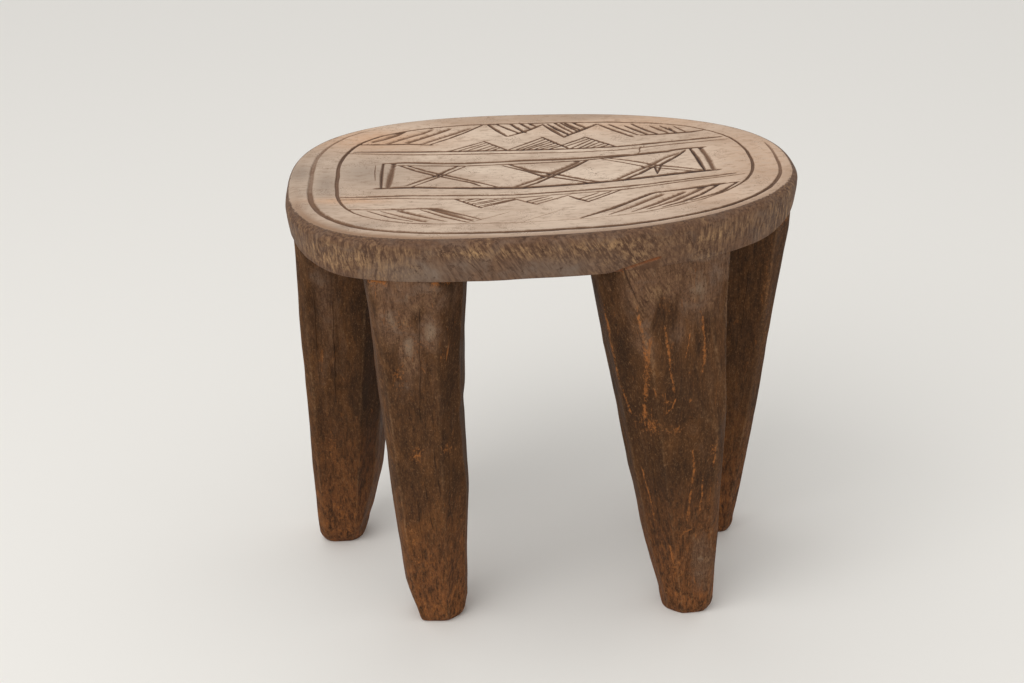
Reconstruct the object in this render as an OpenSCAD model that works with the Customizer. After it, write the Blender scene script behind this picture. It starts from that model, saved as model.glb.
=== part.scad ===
// Low oval stool hewn from one block of hardwood, after the Nupe pattern.
// The seat's long axis lies along X, the front faces -Y and the floor is Z = 0.
// The origin is on the floor under the middle of the seat.

/* [Seat] */
// Length of the oval seat, end to end
seat_length = 385; // [365:5:425]
// Width of the oval seat, front to back
seat_width = 290; // [270:5:315]
// How much wider the seat is at its left end than in the middle, as a share
left_fullness = 0.06; // [0.04:0.01:0.08]
// Squareness of the oval at the front left: 2 is an ellipse, more is boxier
front_left_squareness = 3.2; // [3:0.1:3.3]
// Squareness of the oval at the front right
front_right_squareness = 2.2; // [2.1:0.1:2.4]
// Squareness of the oval at the back left
back_left_squareness = 2.6; // [2.5:0.1:2.8]
// Squareness of the oval at the back right
back_right_squareness = 2.5; // [2.4:0.1:2.7]
// Height of the seat's rim above the floor
stool_height = 345; // [305:5:355]
// Thickness of the seat between the legs
seat_thickness = 32; // [28:1:38]
// Thickness of the seat at its two ends
end_thickness = 20; // [16:1:26]
// Length at each end over which the underside rises to the thin end
end_rise_length = 42; // [34:1:55]
// Depth of the hollow in the middle of the top
dish_depth = 5; // [2:0.5:7]
// Distance that the seat's edge leans in from top to bottom
edge_lean = 3; // [1:0.5:5]
// Width of the worn rounding along the rim
rim_rounding = 3.5; // [2:0.5:4]

/* [Border grooves] */
// Distance from the seat's edge to the outer groove
rim_width = 15; // [14:0.5:18]
// Distance from the outer groove to the inner groove
border_width = 18; // [16:0.5:20]
// How much boxier the inner groove is than the seat at its left end
left_boxiness = 0.3; // [0:0.1:0.5]
// Width of each border groove at the surface
groove_width = 4; // [3:0.5:5]
// Depth of each border groove
groove_depth = 2.5; // [1.5:0.5:3.5]

/* [Carved panel] */
// Length of the central panel
panel_length = 250; // [220:5:260]
// Width of the central panel
panel_width = 54; // [44:2:60]
// Distance from the middle of the panel to the long lines on either side
long_line_reach = 50; // [46:1:54]
// Gap between the two lines of a carved pair
pair_gap = 6; // [5:0.5:8]
// Width of a carved line at the surface
line_width = 3; // [2:0.5:4]
// Depth of a carved line
line_depth = 1.8; // [1:0.2:3]

/* [Legs] */
// Size of each foot along the floor
foot_size = 44; // [38:1:50]
// Height of the worn chamfer round the sole of each foot
foot_chamfer = 12; // [8:1:18]
// Distance that the sole is set in by that chamfer
sole_inset = 5; // [3:0.5:8]
// Swelling of the legs between seat and foot
leg_belly = 1; // [0:0.5:3]

/* [Hidden] */

wood_top = [0.62, 0.52, 0.45];
wood_dark = [0.30, 0.21, 0.15];

half_length = seat_length / 2;
half_width = seat_width / 2;
outline_points = 96;
hollow_rings = 3;
level_share = 0.12;
rise_steps = 6;
clear = 10;

// The carving sits a little behind the middle and is turned, as it was cut by eye
outer_shift = [3, 7.5];
inner_shift = [3, 9.5];
panel_shift = [4.7, 14.4];
panel_turn = 2;

// The long lines wander, as they were cut by eye. Each pair of numbers is a share
// of the line's half length, and how far the line strays there from its place.
back_side_drift = [
    [-1, -1], [-0.83, 0], [-0.5, -4.5], [-0.12, -3.5],
    [0.24, -5.5], [0.56, -4.5], [0.9, 1], [1, 0],
];
front_side_drift = [
    [-1, -3.5], [-0.8, -2.5], [-0.5, -8.5], [-0.16, -11.5],
    [0.16, -10], [0.5, -5], [0.83, 1], [1, 1],
];
back_pair_drift = [
    [-1, 2], [-0.68, -1.5], [-0.41, -4.2], [-0.07, -6.8],
    [0.2, -10], [0.4, -11.5], [0.69, -6.8], [1, -5.3],
];
front_pair_drift = [
    [-1.03, -2.8], [-0.72, -0.8], [-0.44, -5.5], [-0.22, -8],
    [0.03, -5.8], [0.36, -1.8], [0.68, 6.8], [0.96, 11],
];

// Crosses of the panel: the middle of each, and the ends of its arms from the
// back left round by the back right, the front right and the front left
crosses = [
    [[-82.5, -2.5], [-107, 18], [-65, 16], [-47, -33], [-106, -27]],
    [[1, -12], [-29, 14.5], [29.5, 15], [31.5, -34], [-26, -37]],
    [[82, -7], [47, 17], [108, 22], [115, -24.5], [51, -33]],
];
cross_gap = 0.5 * pair_gap;
bar_step = 7;
pair_reach = 150;

// Triangles: two ends of each on the line that carries it, with its point between
back_teeth = [
    [[-71, 51], [-43, 70], [-27, 49]],
    [[-24, 49], [4, 72], [21, 46]],
    [[17, 47], [38, 69.5], [59, 43]],
];
front_teeth = [
    [[-73, -59], [-56, -80], [-28, -64]],
    [[-28, -64], [-15, -78], [8, -61]],
    [[11, -62], [23, -78], [50, -56]],
];
rim_teeth = [
    [[-37, 107], [-23.5, 80], [6, 102]],
    [[6, 102], [21, 72], [50, 96]],
];

// Lines that close off the hatched fields at the four corners of the top
back_left_field = [[-145, 71], [-87, 67.5], [-55, 97], [-40, 107]];
back_right_field = [[52, 95], [75, 64], [130, 65]];
front_left_field = [[-150, -77], [-87, -79], [-61, -105]];
front_right_field = [[16, -113], [48, -88.5], [70, -68], [100, -64], [135, -59]];
stray_lines = [[[-59, -110], [-34, -92]], [[-26, -112], [3, -92]]];

// Plan of each leg: middle and size where it meets the seat, middle of its foot,
// turn about the upright, and the share of its size taken off each hewn corner,
// from front left round by front right and back right to back left.
// The last number is the foot's share of foot_size.
front_left_top = [-97, -107];
front_left_size = [72, 76];
front_left_foot = [-92, -60];
front_left_turn = -6;
front_left_corners = [0.22, 0.18, 0.25, 0.25];
front_left_share = 0.98;

front_right_top = [75, -105];
front_right_size = [98, 82];
front_right_foot = [103, -66];
front_right_turn = 6;
front_right_corners = [0.30, 0.10, 0.20, 0.30];
front_right_share = 0.9;

back_left_top = [-153, 48];
back_left_size = [88, 116];
back_left_foot = [-171, 73];
back_left_turn = 0;
back_left_corners = [0.14, 0.25, 0.22, 0.22];
back_left_share = 1.04;

back_right_top = [153, 47];
back_right_size = [90, 116];
back_right_foot = [138, 63];
back_right_turn = 0;
back_right_corners = [0.25, 0.14, 0.22, 0.22];
back_right_share = 0.98;

// Squareness of an oval's four quarters, from the back right round by the left
seat_quarters = [
    back_right_squareness,
    back_left_squareness,
    front_left_squareness,
    front_right_squareness,
];
boxier = [0.4, left_boxiness, left_boxiness, 0];
outer_quarters = seat_quarters + boxier / 2;
inner_quarters = seat_quarters + boxier;
floor_quarters = [4, 4, 4, 4];

// Superellipse that is fuller at its left end, as a closed list of points. The
// half sizes a and b are those of its box, on either side.
function swell(c, n) = sign(c) * pow(abs(c), 2 / n);
function oval(a, b, quarters) =
    let (
        full = [
            for (i = [0 : outline_points - 1])
                let (
                    t = 360 * i / outline_points,
                    n = quarters[floor(t / 90)],
                    c = swell(cos(t), n)
                )
                [c, swell(sin(t), n) * (1 - left_fullness * c)]
        ],
        back = max([for (p = full) p.y]),
        front = max([for (p = full) -p.y])
    )
    [for (p = full) [a * p.x, b * p.y / (p.y > 0 ? back : front)]];

// Height of the hollowed top over a point of the plan
function from_middle(p) = pow(p.x / half_length, 2) + pow(p.y / half_width, 2);
function top_z(p) = stool_height - dish_depth * max(0, 1 - from_middle(p));

// A ring of the seat's edge, and a ring on its hollowed top
function edge_ring(inset, z, quarters = seat_quarters) = [
    for (p = oval(half_length - inset, half_width - inset, quarters)) [p.x, p.y, z]
];
function top_ring(inset, shift, quarters, sunk = 0, share = 1) = [
    for (p = oval((half_length - inset) * share, (half_width - inset) * share, quarters))
        let (q = p + shift)
        [q.x, q.y, top_z(q) - sunk]
];
function groove_rings(inset, shift, quarters) = [
    top_ring(inset - groove_width / 2, shift, quarters),
    top_ring(inset, shift, quarters, groove_depth),
    top_ring(inset + groove_width / 2, shift, quarters),
];
function hollow(inset) = [
    for (k = [1 : hollow_rings])
        top_ring(inset, inner_shift, inner_quarters, 0, 1 - k / (hollow_rings + 1))
];
function level_ring(inset, share) = [
    for (p = top_ring(inset, inner_shift, inner_quarters, 0, share))
        [p.x, p.y, top_z(inner_shift)]
];

// Closed skin over rings that have the same number of points; the first and
// the last ring are level, and flat faces close them
function walls(count, n) = [
    for (k = [0 : count - 2], i = [0 : n - 1])
        let (a = k * n + i, b = k * n + (i + 1) % n)
        each [[a, a + n, b + n], [a, b + n, b]]
];
function sole(n) = [[for (i = [0 : n - 1]) i]];
function flat_cap(count, n) = [[for (i = [n - 1 : -1 : 0]) (count - 1) * n + i]];
module skin(rings) {
    n = len(rings[0]);
    count = len(rings);
    polyhedron(
        points = [for (ring = rings) each ring],
        faces = concat(sole(n), walls(count, n), flat_cap(count, n))
    );
}

// The underside: flat between the legs, rising in a curve to both ends
rise_start = half_length - end_rise_length;
function rise_z(run) =
    stool_height - seat_thickness
    + (seat_thickness - end_thickness) * pow(run / end_rise_length, 2);
function end_curve(side) = [
    for (i = [0 : rise_steps])
        let (run = end_rise_length * i / rise_steps)
        [side * (rise_start + run), rise_z(run)]
];
module below_seat() {
    right = end_curve(1);
    left = end_curve(-1);
    rotate([90, 0, 0])
    linear_extrude(height = seat_width + 2 * clear, center = true)
    polygon(concat(
        [[half_length + clear, -clear]],
        [[half_length + clear, rise_z(end_rise_length)]],
        [for (i = [rise_steps : -1 : 0]) right[i]],
        left,
        [[-half_length - clear, rise_z(end_rise_length)]],
        [[-half_length - clear, -clear]]
    ));
}

// Seat without its carved lines
module seat_blank() {
    inner = rim_width + border_width;
    difference() {
        skin(concat(
            [
                edge_ring(edge_lean, stool_height - seat_thickness),
                edge_ring(edge_lean / 3, stool_height - seat_thickness * 2 / 3),
                edge_ring(0, stool_height - 3 * rim_rounding),
                edge_ring(rim_rounding / 4, stool_height - rim_rounding),
                top_ring(rim_rounding, [0, 0], seat_quarters),
            ],
            groove_rings(rim_width, outer_shift, outer_quarters),
            groove_rings(inner, inner_shift, inner_quarters),
            hollow(inner),
            [level_ring(inner, level_share)]
        ));
        below_seat();
    }
}

// Point of the panel in the seat's own plan
function on_seat(p) = [
    panel_shift.x + p.x * cos(panel_turn) - p.y * sin(panel_turn),
    panel_shift.y + p.x * sin(panel_turn) + p.y * cos(panel_turn),
];

// The tip of the gouge, held at a point of the panel
module gouge(p, width, depth) {
    q = on_seat(p);
    lift = 1;
    translate([q.x, q.y, top_z(q) - depth])
    rotate([0, 0, 45 + panel_turn])
    cylinder(h = depth + lift, r1 = 0, r2 = width / 2 * (1 + lift / depth), $fn = 4);
}

// A carved line along a list of points of the panel
module carve(points, width = line_width, depth = line_depth) {
    for (i = [0 : len(points) - 2])
        hull() {
            gouge(points[i], width, depth);
            gouge(points[i + 1], width, depth);
        }
}

// Points along a long line: its half length, its place and how it strays
function by_eye(reach, v, drift) = [for (d = drift) [d.x * reach, v + d.y]];
panel_end = panel_length / 2;
panel_side = panel_width / 2;

// The panel: two lines behind, one bold line in front and two bars at each end
module panel_frame() {
    bold = 1.4;
    bar_end = panel_side - 3;
    carve(by_eye(panel_end, panel_side, back_side_drift));
    carve(by_eye(panel_end, panel_side - pair_gap, back_side_drift));
    carve(by_eye(panel_end, -panel_side, front_side_drift), bold * line_width, bold * line_depth);
    for (side = [-1, 1], step = [0, bar_step])
        carve([
            [side * (panel_end - step), bar_end],
            [side * (panel_end - step), -bar_end],
        ]);
}

// Crossed pairs of lines inside the panel
module crossed_pairs() {
    for (cross = crosses, arm = [1, 2], line = [-1, 1]) {
        aside = [0, line * cross_gap];
        carve([cross[arm] + aside, cross[0] + aside, cross[arm + 2] + aside]);
    }
}

// Two pairs of lines that run the length of the seat
module long_pairs() {
    for (line = [-1, 1]) {
        carve(by_eye(pair_reach, long_line_reach + line * pair_gap / 2, back_pair_drift));
        carve(by_eye(pair_reach, -long_line_reach + line * pair_gap / 2, front_pair_drift));
    }
}

// Triangles along the long lines and the inner groove
fine = 0.8;
module triangles() {
    for (row = [back_teeth, front_teeth, rim_teeth], tooth = row)
        carve(tooth, fine * line_width, fine * line_depth);
}
module corner_fields() {
    for (field = [back_left_field, back_right_field, front_left_field, front_right_field])
        carve(field);
    for (stray = stray_lines)
        carve(stray, fine * line_width, fine * line_depth);
}

// The outside of the block that the legs are hewn from: the seat's own outline
// at the top, fullest a little below it and boxier at the floor
fullest = 0.6;
module log_sides() {
    skin([
        edge_ring(0, 0, floor_quarters),
        edge_ring(0, fullest * stool_height),
        edge_ring(edge_lean, stool_height - seat_thickness),
        edge_ring(edge_lean, stool_height),
    ]);
}

// One leg: hewn faces that taper to the foot, kept inside the block's sides
// and cut off where the underside of the seat begins
function hewn_ring(at, size, corners, turn, z) =
    let (
        w = size.x / 2,
        d = size.y / 2,
        c = corners * min(size.x, size.y)
    )
    [
        for (p = [
            [-w + c[0], -d], [w - c[1], -d],
            [w, -d + c[1]], [w, d - c[2]],
            [w - c[2], d], [-w + c[3], d],
            [-w, d - c[3]], [-w, -d + c[0]],
        ])
        [
            at.x + p.x * cos(turn) - p.y * sin(turn),
            at.y + p.x * sin(turn) + p.y * cos(turn),
            z,
        ]
    ];
module leg(top, size, foot, turn, corners, share) {
    ankle = share * [foot_size, foot_size];
    reach = stool_height - end_thickness / 2;
    shares = [0, 1 / 3, 2 / 3, 1];
    intersection() {
        skin(concat(
            [hewn_ring(foot, ankle - 2 * [sole_inset, sole_inset], corners, turn, 0)],
            [
                for (s = shares)
                    let (belly = 2 * leg_belly * sin(180 * s))
                    hewn_ring(
                        foot + (top - foot) * s,
                        ankle + (size - ankle) * s + [belly, belly],
                        corners,
                        turn,
                        foot_chamfer + (reach - foot_chamfer) * s
                    )
            ]
        ));
        log_sides();
        below_seat();
    }
}

module seat() {
    color(wood_top)
    difference() {
        seat_blank();
        panel_frame();
        crossed_pairs();
        long_pairs();
        triangles();
        corner_fields();
    }
}

module leg_front_left() {
    color(wood_dark)
    leg(
        front_left_top, front_left_size, front_left_foot,
        front_left_turn, front_left_corners, front_left_share
    );
}

module leg_front_right() {
    color(wood_dark)
    leg(
        front_right_top, front_right_size, front_right_foot,
        front_right_turn, front_right_corners, front_right_share
    );
}

module leg_back_left() {
    color(wood_dark)
    leg(
        back_left_top, back_left_size, back_left_foot,
        back_left_turn, back_left_corners, back_left_share
    );
}

module leg_back_right() {
    color(wood_dark)
    leg(
        back_right_top, back_right_size, back_right_foot,
        back_right_turn, back_right_corners, back_right_share
    );
}

seat();
leg_front_left();
leg_front_right();
leg_back_left();
leg_back_right();
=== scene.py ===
import math
import random

import bmesh
import bpy
import numpy as np
from mathutils import Matrix, Vector, noise


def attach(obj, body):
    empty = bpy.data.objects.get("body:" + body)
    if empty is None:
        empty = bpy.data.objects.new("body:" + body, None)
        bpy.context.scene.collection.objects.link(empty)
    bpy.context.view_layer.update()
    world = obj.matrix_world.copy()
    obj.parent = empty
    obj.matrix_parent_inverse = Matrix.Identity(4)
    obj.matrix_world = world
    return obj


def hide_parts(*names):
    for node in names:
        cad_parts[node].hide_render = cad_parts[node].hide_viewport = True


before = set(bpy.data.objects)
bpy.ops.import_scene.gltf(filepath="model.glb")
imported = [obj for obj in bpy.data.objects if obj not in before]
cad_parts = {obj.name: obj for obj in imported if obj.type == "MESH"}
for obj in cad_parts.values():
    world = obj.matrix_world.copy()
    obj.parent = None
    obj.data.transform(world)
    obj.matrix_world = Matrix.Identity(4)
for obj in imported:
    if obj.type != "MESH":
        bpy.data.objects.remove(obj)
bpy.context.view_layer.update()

# All pieces are shaped in millimetres and scaled to metres at the end
mm = 0.001
# a cut line's shortest piece, its nearest point to an old one, and the slack at its lips
shortest = 0.2
sliver = 0.12
slack = 0.05

view = {
    "place": (-76.0, -1433.1, 838.9),
    "pitch": 23.88,
    "turn": -2,
    "roll": -1.5,
    "lens": 70.3,
    "sensor": 36,
}


def placeCamera():
    data = bpy.data.cameras.new("photoCamera")
    data.lens = view["lens"]
    data.sensor_width = view["sensor"]
    cam = bpy.data.objects.new("photoCamera", data)
    bpy.context.collection.objects.link(cam)
    turn = Matrix.Rotation(math.radians(view["turn"]), 4, "Z")
    pitch = Matrix.Rotation(math.radians(90 - view["pitch"]), 4, "X")
    roll = Matrix.Rotation(math.radians(view["roll"]), 4, "Z")
    cam.matrix_world = Matrix.Translation(Vector(view["place"]) * mm) @ turn @ pitch @ roll
    bpy.context.scene.camera = cam


placeCamera()

# The block that the stool is hewn from, with the sizes of the CAD part
block = {
    "length": 385,
    "width": 290,
    "height": 345,
    "thickness": 32,
    "endThickness": 20,
    "endRise": 42,
    "dish": 5,
    "lean": 3,
    "fullness": 0.06,
    # back right, back left, front left, front right
    "squareness": (2.5, 2.6, 3.2, 2.2),
    "floorSquareness": (4, 4, 4, 4),
    "fullest": 0.6,
}
halfLength = block["length"] / 2
halfWidth = block["width"] / 2


def swell(c, n):
    return math.copysign(abs(c) ** (2 / n), c)


def oval(a, b, quarters, shift=(0, 0), count=1440):
    # fuller at its left end, with half sizes a and b
    full = []
    for i in range(count):
        t = 2 * math.pi * (i + 0.5) / count
        n = quarters[int(4 * (i + 0.5) / count)]
        c = swell(math.cos(t), n)
        full.append((c, swell(math.sin(t), n) * (1 - block["fullness"] * c)))
    back = max(y for x, y in full)
    front = -min(y for x, y in full)
    return [
        Vector((shift[0] + a * x, shift[1] + b * y / (back if y > 0 else front)))
        for x, y in full
    ]


def evenly(points, step, closed=True):
    # the same line, with points at an even distance
    loop = points + [points[0]] if closed else points
    total = sum((q - p).length for p, q in zip(loop, loop[1:]))
    count = max(1, round(total / step))
    gap = total / count
    out, run, want = [], 0.0, 0.0
    for p, q in zip(loop, loop[1:]):
        d = (q - p).length
        while want <= run + d + 1e-9 and len(out) < count + (0 if closed else 1):
            out.append(p.lerp(q, (want - run) / d if d else 0))
            want += gap
        run += d
    return out


def within(run, reach):
    # how far along a reach, from 0 to 1
    return min(1, max(0, run / reach))


def topZ(x, y):
    away = (x / halfLength) ** 2 + (y / halfWidth) ** 2
    return block["height"] - block["dish"] * max(0, 1 - away)


def underZ(x):
    run = within(abs(x) - halfLength + block["endRise"], block["endRise"])
    rise = (block["thickness"] - block["endThickness"]) * run ** 2
    return block["height"] - block["thickness"] + rise


def ripple(x, y, z, size, seed=0, apart=17.3):
    # soft unevenness, between -1 and 1
    return noise.noise(Vector((x / size + apart * seed, y / size, z / size)))


def outward(line):
    # the direction that faces out at each point of a closed line
    across = np.roll(line, -1, 0) - np.roll(line, 1, 0)
    across = np.stack([across[:, 1], -across[:, 0]], 1)
    return across / np.linalg.norm(across, axis=1)[:, None]


def eased(share):
    # from 0 to 1, slow at both ends
    return share * share * (3 - 2 * share)


def heightOn(line, x):
    # value at x on a line through (place, value) pairs, with soft corners
    for (a, p), (b, q) in zip(line, line[1:]):
        if a <= x <= b:
            return p + (q - p) * eased((x - a) / (b - a))
    return line[0][1] if x < line[0][0] else line[-1][1]


def spotted(spots, u, v):
    # strength of soft round spots: middle, reach both ways and amount of each
    return max([0] + [
        amount * math.exp(-((u - a) / r) ** 2 - ((v - b) / s) ** 2)
        for a, b, r, s, amount in spots
    ])


# Plan of the seat's edge and of the block at the floor
edgeLine = oval(halfLength, halfWidth, block["squareness"])
edgeArray = np.array(edgeLine)
edgeOut = outward(edgeArray)
floorArray = np.array(oval(halfLength, halfWidth, block["floorSquareness"]))


def scoop(x, y, z, sizes, seed=0, apart=5.3, reach=0.75):
    # depth, between 0 and 1, of the hewing cut at a place on the wood
    spot = Vector((x / sizes[0] + apart * seed, y / sizes[1], z / sizes[2]))
    return max(0, 1 - (noise.voronoi(spot)[0][0] / reach) ** 2)


def nearestEdge(x, y):
    i = int(((edgeArray[::2] - (x, y)) ** 2).sum(1).argmin()) * 2
    return Vector(edgeArray[i]), Vector(edgeOut[i])


def insetOf(v):
    # how far a point lies inside the seat's edge
    spot, out = nearestEdge(v.co.x, v.co.y)
    return (spot - v.co.xy).dot(out)


def vertsOf(made):
    return [g for g in made if isinstance(g, bmesh.types.BMVert)]


def edgesOf(made):
    return [g for g in made if isinstance(g, bmesh.types.BMEdge)]


def newLayers(bm, *names):
    return {name: bm.verts.layers.float.new(name) for name in names}


def linked(bm, name, material):
    mesh = bpy.data.meshes.new(name)
    bm.to_mesh(mesh)
    bm.free()
    mesh.materials.append(material)
    made = bpy.data.objects.new(name, mesh)
    bpy.context.collection.objects.link(made)
    return made


def binOf(p, size=8.0):
    return int(math.floor(p[0] / size)), int(math.floor(p[1] / size))


def binVerts(bm, flat, keep):
    bins = {}
    for v in bm.verts:
        if keep(v):
            bins.setdefault(binOf(flat(v.co)), set()).add(v)
    return bins


def vertsNear(bins, flat, a, b, reach):
    lo = binOf((min(a.x, b.x) - reach, min(a.y, b.y) - reach))
    hi = binOf((max(a.x, b.x) + reach, max(a.y, b.y) + reach))
    along = b - a
    span = max(along.length_squared, 1e-9)
    found = []
    for i in range(lo[0], hi[0] + 1):
        for j in range(lo[1], hi[1] + 1):
            for v in bins.get((i, j), ()):
                p = flat(v.co)
                t = min(1, max(0, (p - a).dot(along) / span))
                d = (p - a - along * t).length
                if d < reach:
                    found.append((v, t, d))
    return found


def scoreLines(bm, lines, flat, plane, keep, cell):
    # cuts the mesh along both lips and the bottom of every line
    bins = binVerts(bm, flat, keep)
    for line in lines:
        points, widths = line["points"], line["widths"]
        for a, b, wa, wb in zip(points, points[1:], widths, widths[1:]):
            along = b - a
            if along.length < shortest:
                continue
            side = Vector((along.y, -along.x)).normalized()
            for share in line["cuts"]:
                p = a + side * wa / 2 * share
                q = b + side * wb / 2 * share
                across = Vector((q.y - p.y, p.x - q.x)).normalized()
                faces = set()
                reach = max(wa, wb) / 2 + cell
                for found in vertsNear(bins, flat, a, b, reach):
                    faces.update(f for f in found[0].link_faces if keep(f.verts[0]))
                geom = set(faces)
                for f in faces:
                    geom.update(f.edges)
                    geom.update(f.verts)
                cut = bmesh.ops.bisect_plane(
                    bm, geom=list(geom), dist=sliver,
                    plane_co=plane(p), plane_no=plane(across),
                )
                for v in vertsOf(cut["geom_cut"]):
                    bins.setdefault(binOf(flat(v.co)), set()).add(v)
    return bins


def depthOf(line, share):
    # share is 0 at the bottom of the line and 1 at its lips
    if len(line["cuts"]) > 3:
        return min(1, (1 - share) / (1 - line["cuts"][2]))
    return 1 - share


def sinkLines(bins, lines, flat, sink, groove):
    # moves the points inside the lines down to their V or U shape, and paints a shade into them that is
    # darker where they are deeper
    for line in lines:
        points, widths, depths = line["points"], line["widths"], line["depths"]
        for i in range(len(points) - 1):
            a, b = points[i], points[i + 1]
            half = max(widths[i], widths[i + 1]) / 2
            for v, t, d in vertsNear(bins, flat, a, b, half + slack):
                w = (widths[i] + (widths[i + 1] - widths[i]) * t) / 2
                if d >= w:
                    continue
                depth = depths[i] + (depths[i + 1] - depths[i]) * t
                down = depth * depthOf(line, d / w)
                if down > v[groove[0]]:
                    sink(v, down - v[groove[0]])
                    v[groove[0]] = down
                # painted shade in the line, darkest at its bottom and gone at its lips
                dark = depthOf(line, d / w) ** carving["darkSpread"] * line["tones"][i]
                v[groove[1]] = max(v[groove[1]], dark)


# Lines are given in the panel's own plan, which is turned and set back on the seat. They
# are cut in the order of these lists, with the lines of one kind that follow each other
# in one row
carving = {
    "shift": (4.5, 15.6),
    "turn": 2,
    "longest": 30,
    "seed": 7,
    "darkSpread": 0.6,
    # how much one stroke and one place on it differ from the next
    "uneven": 0.12,
    "toneUneven": 0.15,
    "grooveStep": 11,
    "grooveUneven": 0.1,
    "grooveWander": 0.3,
    # width, depth, share of them at the start and the end, and darkness of the painted shade in each kind
    # of cut
    "kinds": {
        "deep": (6, 2.3, 0.7, 0.7, 1.1),
        "bold": (5, 2.0, 0.6, 0.7, 0.95),
        "middling": (4.1, 1.6, 0.7, 0.7, 0.85),
        "thin": (3, 1.2, 0.7, 0.7, 0.85),
        "scratch": (1.6, 0.6, 0.6, 0.6, 0.5),
        "broad": (6.2, 1.7, 0.9, 0.9, 0.5),
        "opening": (6.4, 1.5, 0.4, 1.1, 0.5),
        "closing": (5.8, 1.5, 1.1, 0.4, 0.55),
    },
}

panelLines = [
    (
        "bold",
        [(-124, 26), (-104, 27.5), (-61, 22.5), (-15, 23.5), (30, 21.5), (70, 22.5), (112, 28),
         (125, 27.5)],
    ),
    ("thin", [(-118, 21.5), (-97, 20), (-60, 16.5), (-15, 16), (30, 16.5), (70, 20.5), (97, 23.5)]),
    (
        "deep",
        [(-129, -30.5), (-100, -29.5), (-60, -35.5), (-20, -38.5), (20, -37), (63, -32), (104, -26),
         (127, -26)],
    ),
    ("middling", [(-124, 26), (-126, 0), (-127, -29)]),
    ("broad", [(-116, 25), (-119, -1), (-122, -28)]),
    ("middling", [(115, 27), (117, 6), (118, -24)]),
    ("broad", [(123, 27), (125, 8), (125, -25)]),
    ("scratch", [(-130, 23), (-131, 5), (-131, -12)]),
]

crosses = [
    (
        "middling",
        [(-105, 20), (-92, 8), (-83, 1), (-77, -3), (-61, -16), (-41, -34)],
        [(-111, 20), (-99, 8), (-87, -2), (-78, -8), (-59, -23), (-53, -31)],
        [(-109, -26), (-95, -12), (-84, -3), (-78, 6), (-68, 16)],
    ),
    ("thin", [(-103, -27), (-92, -16), (-82, -6), (-74, 3), (-61, 16)]),
    ("bold", [(-27, 15), (-13, 1), (-5, -5.5), (2, -8), (11, -15), (27, -28), (36, -34)]),
    ("middling", [(-32, 13), (-14, -3), (-6, -12), (5, -19), (16, -26), (27, -34)]),
    ("broad", [(-29, -36), (-9, -20), (-1, -13), (3, -8), (13, 2), (25, 14)]),
    (
        "middling",
        [(-23, -38), (-10, -29), (-1, -19.5), (9, -9), (22, 4), (34, 17)],
        [(51, 17), (65, 10), (80, -1), (87, -7), (100, -13), (116, -23)],
    ),
    ("thin", [(44, 17), (61, 5), (74, -6), (85, -12), (99, -19), (114, -26)]),
    ("broad", [(47, -32), (65, -15), (81, -2), (91, 10), (104, 20)]),
    ("middling", [(54, -33), (69, -21), (80, -9), (88, -4), (101, 11), (111, 24)]),
    ("thin", [(82, -7), (82, -23)], [(87, -8), (82, -23)]),
    ("scratch", [(81, 42), (80, 37), (78, 39), (76, 33), (76, 29), (74, 25)]),
]

longPairs = [
    (
        "middling",
        [(-157, -50), (-104, -48), (-66, -51.5), (-30, -54), (5, -53), (54, -48.5), (103, -41),
         (139, -37)],
    ),
    (
        "thin",
        [(-157, -55.5), (-116, -53.5), (-66, -59.5), (-35, -62), (5, -58.5), (54, -55), (100, -45.5),
         (143, -40.5)],
    ),
    (
        "middling",
        [(-145, 54), (-97, 51.5), (-60, 49), (-13, 47), (30, 44), (60, 42.5), (102, 46.5), (143, 48)],
    ),
    (
        "thin",
        [(-150, 50.5), (-103, 45.5), (-60, 42.5), (-7, 39.5), (30, 36), (59, 34.5), (101, 40),
         (146, 41.5)],
    ),
]

backFields = [
    ("middling", [(-142, 70), (-120, 69), (-102, 69), (-86, 66)]),
    ("thin", [(-86, 67), (-70, 80), (-57, 92), (-42, 107)]),
    (
        "broad",
        [(-131, 76), (-122, 82), (-112, 91), (-106, 98)], [(-120, 72), (-102, 87), (-92, 93), (-83, 102)],
        [(-104, 73), (-82, 91), (-69, 102)], [(-91, 71), (-78, 82), (-54, 101)],
    ),
    ("bold", [(-37, 107), (-24, 80)]),
    ("middling", [(-23, 80), (-12, 87), (-4, 93), (6, 102)], [(-30, 107), (-14, 86)]),
    ("bold", [(-19, 107), (-9, 87)]),
    ("middling", [(-11, 107), (-4, 94)], [(-4, 106), (1, 99)]),
    ("bold", [(7, 102), (21, 72)], [(21, 72), (35, 85), (50, 97)], [(11, 102), (25, 77)]),
    ("middling", [(17, 104), (30, 79)], [(22, 103), (33, 84)], [(25, 103), (35, 87)]),
    ("bold", [(32, 102), (41, 90)], [(52, 95), (74, 64)]),
    ("middling", [(82, 65), (97, 64), (106, 64), (121, 64), (131, 66)], [(60, 94), (79, 67)]),
    ("bold", [(72, 89), (87, 66)]),
    ("middling", [(78, 92), (88, 74), (96, 64)], [(92, 84), (105, 64)], [(100, 82), (110, 66)]),
    ("thin", [(106, 77), (109, 66)], [(111, 78), (118, 65)]),
]

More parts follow.
